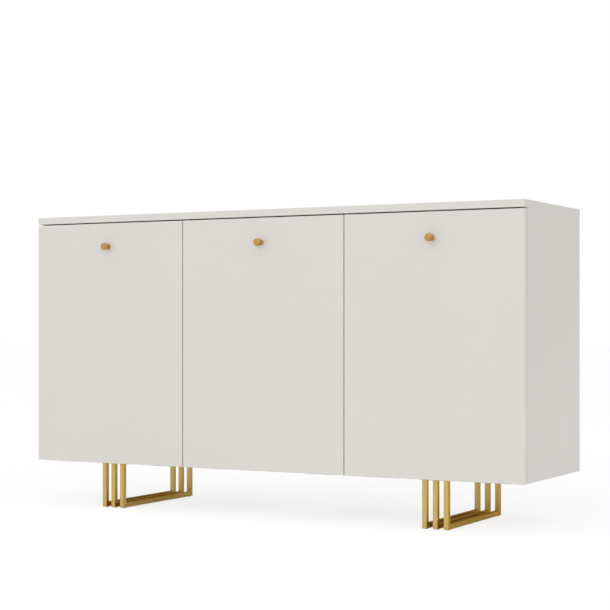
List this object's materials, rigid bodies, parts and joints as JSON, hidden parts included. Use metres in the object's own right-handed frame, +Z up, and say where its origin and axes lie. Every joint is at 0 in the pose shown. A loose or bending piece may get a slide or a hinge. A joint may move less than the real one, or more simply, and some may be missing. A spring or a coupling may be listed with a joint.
{
  "type": "sideboard buffet",
  "caption": "Low white lacquered cabinet with drop-front doors, round brass knobs, an adjustable shelf in each bay and grouped square-tube sled legs.",
  "frame": {"origin": "on the floor, under the middle of the box that holds the whole sideboard, knobs included", "axes": "+X to the right as seen from the front, the doors face -Y, +Z up"},
  "size_m": [1.4, 0.41, 0.776],
  "materials": {
    "white_lacquer": "satin lacquer on MDF",
    "back_board": "white-faced hardboard",
    "gold_steel": "satin gold plating",
    "gold_brass": "brushed and lacquered",
    "zinc_plated_steel": "zinc plated",
    "zinc_alloy": "die cast",
    "beech": "raw",
    "white_plastic": "moulded",
    "ferrite": "sintered",
    "clear_rubber": "translucent"
  },
  "bodies": {
    "cabinet": {"top_panel": "white_lacquer", "bottom_panel": "white_lacquer", "left_side_panel": "white_lacquer", "right_side_panel": "white_lacquer", "left_partition": "white_lacquer", "right_partition": "white_lacquer", "back_panel": "back_board", "shelf_pins": "zinc_plated_steel", "cam_locks": "zinc_alloy", "cam_bolts": "zinc_plated_steel", "dowels": "beech", "partition_screws": "zinc_plated_steel", "back_panel_screws": "zinc_plated_steel", "cabinet_hinge_leaves": "zinc_plated_steel", "hinge_pins": "zinc_plated_steel", "cabinet_fitting_screws": "zinc_plated_steel", "catch_housings": "white_plastic", "catch_magnets": "ferrite", "door_bumpers": "clear_rubber", "stay_studs": "zinc_plated_steel", "left_shelf": "white_lacquer", "middle_shelf": "white_lacquer", "right_shelf": "white_lacquer", "left_inner_leg_frame": "gold_steel", "left_middle_leg_frame": "gold_steel", "left_outer_leg_frame": "gold_steel", "left_front_leg_plate": "gold_steel", "left_rear_leg_plate": "gold_steel", "right_inner_leg_frame": "gold_steel", "right_middle_leg_frame": "gold_steel", "right_outer_leg_frame": "gold_steel", "right_front_leg_plate": "gold_steel", "right_rear_leg_plate": "gold_steel", "leg_plate_screws": "zinc_plated_steel", "foot_glides": "white_plastic"},
    "left_drop_door": {"left_door": "white_lacquer", "left_knob": "gold_brass", "left_door_hinge_leaves": "zinc_plated_steel", "left_stay_brackets": "zinc_plated_steel", "left_stay_rivets": "zinc_plated_steel", "left_strike_plate": "zinc_plated_steel", "left_door_screws": "zinc_plated_steel"},
    "left_stay_pair": {"left_stay_arms": "zinc_plated_steel"},
    "middle_drop_door": {"middle_door": "white_lacquer", "middle_knob": "gold_brass", "middle_door_hinge_leaves": "zinc_plated_steel", "middle_stay_brackets": "zinc_plated_steel", "middle_stay_rivets": "zinc_plated_steel", "middle_strike_plate": "zinc_plated_steel", "middle_door_screws": "zinc_plated_steel"},
    "middle_stay_pair": {"middle_stay_arms": "zinc_plated_steel"},
    "right_drop_door": {"right_door": "white_lacquer", "right_knob": "gold_brass", "right_door_hinge_leaves": "zinc_plated_steel", "right_stay_brackets": "zinc_plated_steel", "right_stay_rivets": "zinc_plated_steel", "right_strike_plate": "zinc_plated_steel", "right_door_screws": "zinc_plated_steel"},
    "right_stay_pair": {"right_stay_arms": "zinc_plated_steel"}
  },
  "joints": [
    {"name": "left_door_hinge", "type": "hinge", "parent": "cabinet", "child": "left_drop_door", "pos_m": [-0.46747, -0.162, 0.12], "axis": [1, 0, 0], "range_deg": [0, 90]},
    {"name": "left_stay_pivot", "type": "hinge", "parent": "left_drop_door", "child": "left_stay_pair", "pos_m": [-0.46747, -0.152, 0.31], "axis": [1, 0, 0], "range_deg": [-45, 0]},
    {"name": "middle_door_hinge", "type": "hinge", "parent": "cabinet", "child": "middle_drop_door", "pos_m": [0, -0.162, 0.12], "axis": [1, 0, 0], "range_deg": [0, 90]},
    {"name": "middle_stay_pivot", "type": "hinge", "parent": "middle_drop_door", "child": "middle_stay_pair", "pos_m": [0, -0.152, 0.31], "axis": [1, 0, 0], "range_deg": [-45, 0]},
    {"name": "right_door_hinge", "type": "hinge", "parent": "cabinet", "child": "right_drop_door", "pos_m": [0.46747, -0.162, 0.12], "axis": [1, 0, 0], "range_deg": [0, 90]},
    {"name": "right_stay_pivot", "type": "hinge", "parent": "right_drop_door", "child": "right_stay_pair", "pos_m": [0.46747, -0.152, 0.31], "axis": [1, 0, 0], "range_deg": [-45, 0]}
  ],
  "couplings": [
    {"joint": "left_stay_pivot", "follows": "left_door_hinge", "ratio": -0.5},
    {"joint": "middle_stay_pivot", "follows": "middle_door_hinge", "ratio": -0.5},
    {"joint": "right_stay_pivot", "follows": "right_door_hinge", "ratio": -0.5}
  ]
}
